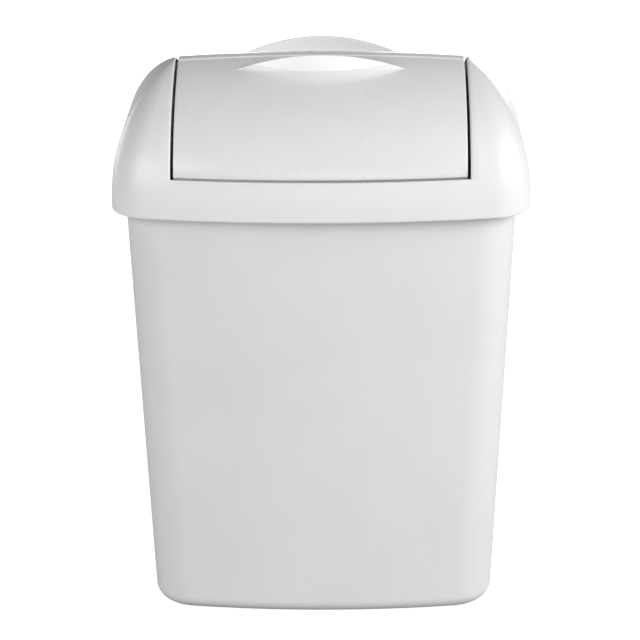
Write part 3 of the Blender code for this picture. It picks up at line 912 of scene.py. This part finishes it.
def white_plastic(name, tone, dull, roughness, grain, speck_share, foot_shade=0.0):
    """Moulded white plastic: cloudy grey tone, fine moulded grain, rubbed patches, hairline
    scratches, specks of grime and, where asked for, painted shade that darkens the foot."""
    n = Nodes(name)
    cloud = n.noise(9, 5, 0.6)
    colour = n.mix(n.band(cloud, 0.35, 0.65, 0, 1), (tone,) * 3, (dull,) * 3)
    specks = n.specks(85, 0.07, speck_share)
    faint = n.math("MULTIPLY", specks, n.band(n.noise(30, 2), 0.35, 0.7, 0.1, 0.55))
    colour = n.mix(faint, colour, SPECK_TONE)
    smear = n.band(n.noise(12, 3, 0.5, (1, 1, 0.25)), 0.56, 0.8, 0, 0.05)
    colour = n.mix(smear, colour, SMEAR_TONE)
    # Painted shade: the foot darkens towards the bottom, standing in for the shade where the base
    # turns under
    if foot_shade:
        foot_shade_share = n.band(n.height(), 0.0, FOOT_SHADE_HEIGHT, foot_shade, 0)
        colour = n.mix(foot_shade_share, colour, FOOT_SHADE_TONE)
    n.link(colour, n.shader.inputs["Base Color"])
    scratches = n.band(n.noise(60, 2, 0.5, (1, 1, 14)), 0.66, 0.72, 0, 1)
    worn = n.band(n.noise(22, 6, 0.65), 0.3, 0.75, roughness - 0.04, roughness + 0.06)
    rough = n.math("ADD", worn, n.math("MULTIPLY", scratches, 0.05))
    n.link(rough, n.shader.inputs["Roughness"])
    flow = n.bump(n.noise(7, 3, 0.5, (1, 1, 0.4)), 0.18, 0.002)
    fine = n.bump(n.noise(grain, 3, 0.6), 0.12, 0.0002, flow)
    n.link(n.bump(scratches, 0.06, 0.00005, fine), n.shader.inputs["Normal"])
    n.shader.inputs["IOR"].default_value = PLASTIC_IOR
    return n.material


def grey_plastic():
    n = Nodes("ring_plastic")
    cloud = n.band(n.noise(18, 5), 0.35, 0.65, 0, 1)
    colour = n.mix(cloud, (0.40, 0.41, 0.42), (0.47, 0.48, 0.49))
    n.link(colour, n.shader.inputs["Base Color"])
    n.link(n.band(n.noise(40, 6, 0.7), 0.3, 0.7, 0.40, 0.56), n.shader.inputs["Roughness"])
    n.link(n.bump(n.noise(900, 3), 0.15, 0.0002), n.shader.inputs["Normal"])
    return n.material


def pivot_plastic():
    """Natural acetal with fine turning rings."""
    n = Nodes("pivot_plastic")
    cloud = n.band(n.noise(120, 4), 0.35, 0.7, 0, 1)
    colour = n.mix(cloud, (0.74, 0.73, 0.70), (0.62, 0.61, 0.58))
    n.link(colour, n.shader.inputs["Base Color"])
    n.link(n.band(n.noise(300, 4), 0.3, 0.7, 0.26, 0.42), n.shader.inputs["Roughness"])
    n.link(n.bump(n.noise(1800, 2, 0.5, (8, 1, 1)), 0.2, 0.0001), n.shader.inputs["Normal"])
    return n.material


def black_rubber():
    n = Nodes("pad_rubber")
    dust = n.band(n.noise(260, 5, 0.7), 0.5, 0.75, 0, 0.5)
    n.link(n.mix(dust, (0.035, 0.035, 0.036), (0.16, 0.155, 0.15)), n.shader.inputs["Base Color"])
    n.link(n.band(n.noise(500, 4), 0.3, 0.7, 0.7, 0.9), n.shader.inputs["Roughness"])
    n.link(n.bump(n.noise(2200, 3), 0.3, 0.0002), n.shader.inputs["Normal"])
    return n.material


def paint_nodes(material, *nodes):
    """Give CAD nodes that stay in view a finish."""
    for name in nodes:
        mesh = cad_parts[name].data
        mesh.materials.clear()
        mesh.materials.append(material)


# ---------------------------------------------------------------- studio

FLOOR_GLOW = 0.97
FLOOR_REACH = 9.0
FLOOR_MIDDLE = 1.0
# The floor lies this far under the pads, so that the two don't share a plane
FLOOR_DROP = 0.0003
FLOOR_TONE = (0.62, 0.62, 0.62)
WORLD_LIGHT = 0.03
# The softboxes stand round a point at this height and face it: name, degrees round to the right,
# degrees up, distance, width, height, power
AIM_HEIGHT = 0.3
SOFTBOXES = (
    ("front_left_box", -43, 23, 2.4, 1.5, 1.1, 29),
    ("front_right_box", 63, 23, 2.4, 1.3, 1.1, 33),
    ("front_box", 4, 4, 2.6, 0.9, 0.4, 6.5),
    ("right_box", 82, 26, 2.3, 0.8, 1.2, 18),
    ("back_left_box", -135, 5, 2.6, 1.2, 0.9, 11),
    ("back_box", 172, 5, 2.6, 1.2, 0.9, 17),
)
# A long lens that looks down by 19 degrees, fitted to the outline in the photograph
CAMERA_PLACE = (-0.00226, -1.993, 0.918)
CAMERA_PITCH = math.radians(70.974)
CAMERA_ROLL = -0.0062
CAMERA_AZIMUTH = math.radians(0.75)
CAMERA_LENS = 140.625


def make_floor():
    n = Nodes("studio_floor")
    tone = n.band(n.noise(2, 4), 0.3, 0.7, 0.98, 1.0)
    n.shader.inputs["Base Color"].default_value = (*FLOOR_TONE, 1)
    n.link(n.band(n.noise(14, 4), 0.3, 0.7, 0.55, 0.7), n.shader.inputs["Roughness"])
    n.shader.inputs["Specular IOR Level"].default_value = 0.1
    n.shader.inputs["Emission Color"].default_value = (1, 1, 1, 1)
    n.link(n.math("MULTIPLY", tone, FLOOR_GLOW), n.shader.inputs["Emission Strength"])
    bm = bmesh.new()
    lines = (-FLOOR_REACH, -FLOOR_MIDDLE, FLOOR_MIDDLE, FLOOR_REACH)
    add_grid(bm, [[(x, y, -FLOOR_DROP) for x in lines] for y in lines])
    mesh = bpy.data.meshes.new("studio_floor")
    bm.to_mesh(mesh)
    bm.free()
    floor = bpy.data.objects.new("studio_floor", mesh)
    bpy.context.scene.collection.objects.link(floor)
    lit_by_floor = bpy.data.collections.new("lit_by_floor")
    lit_by_floor.objects.link(floor)
    floor.light_linking.receiver_collection = lit_by_floor
    mesh.materials.append(n.material)


def make_light(name, place, aim, width, height, power):
    lamp = bpy.data.lights.new(name, "AREA")
    lamp.shape = "RECTANGLE"
    lamp.size, lamp.size_y = width, height
    lamp.energy = power
    holder = bpy.data.objects.new(name, lamp)
    holder.location = place
    holder.rotation_euler = (Vector(aim) - Vector(place)).to_track_quat("-Z", "Y").to_euler()
    bpy.context.scene.collection.objects.link(holder)


def make_studio():
    world = bpy.data.worlds.new("studio")
    bpy.context.scene.world = world
    world.use_nodes = True
    back = world.node_tree.nodes["Background"]
    back.inputs["Color"].default_value = (1, 1, 1, 1)
    back.inputs["Strength"].default_value = WORLD_LIGHT
    for name, azimuth, rise, far, width, height, power in SOFTBOXES:
        level = far * math.cos(math.radians(rise))
        place = Vector(
            (
                level * math.sin(math.radians(azimuth)),
                -level * math.cos(math.radians(azimuth)),
                AIM_HEIGHT + far * math.sin(math.radians(rise)),
            )
        )
        make_light(name, place, (0, 0, AIM_HEIGHT), width, height, power)
    bpy.context.scene.view_settings.view_transform = "Standard"


def make_camera():
    lens = bpy.data.cameras.new("camera")
    lens.sensor_width = 36
    lens.lens = CAMERA_LENS
    camera = bpy.data.objects.new("camera", lens)
    camera.matrix_world = (
        Matrix.Rotation(CAMERA_AZIMUTH, 4, "Z")
        @ Matrix.Translation(CAMERA_PLACE)
        @ Matrix.Rotation(CAMERA_PITCH, 4, "X")
        @ Matrix.Rotation(CAMERA_ROLL, 4, "Z")
    )
    bpy.context.scene.collection.objects.link(camera)
    bpy.context.scene.camera = camera


body_white = white_plastic(
    "body_plastic",
    tone=0.78,
    dull=0.755,
    roughness=0.42,
    grain=1300,
    speck_share=0.05,
    foot_shade=0.5,
)
hood_white = white_plastic(
    "hood_plastic", tone=0.83, dull=0.81, roughness=0.38, grain=1300, speck_share=0.02
)
flap_white = white_plastic(
    "flap_plastic", tone=0.82, dull=0.80, roughness=0.30, grain=1500, speck_share=0.02
)
# A paler copy of the flap plastic for the lip's outer face: a painted highlight
lip_highlight_white = white_plastic(
    "flap_lip_painted_highlight", tone=0.98, dull=0.96, roughness=0.30, grain=1500, speck_share=0.02
)
ring_grey = grey_plastic()
acetal = pivot_plastic()
rubber = black_rubber()

make_body(body_white)
make_pads(rubber)
make_ring(ring_grey)
make_hood(hood_white)
make_panels(flap_white, lip_highlight_white)
make_spine(flap_white)
paint_nodes(flap_white, "flap_end_left", "flap_end_right")
paint_nodes(acetal, "pivot_pin_left", "pivot_pin_right", "pivot_bush_left", "pivot_bush_right")
make_floor()
make_studio()
make_camera()
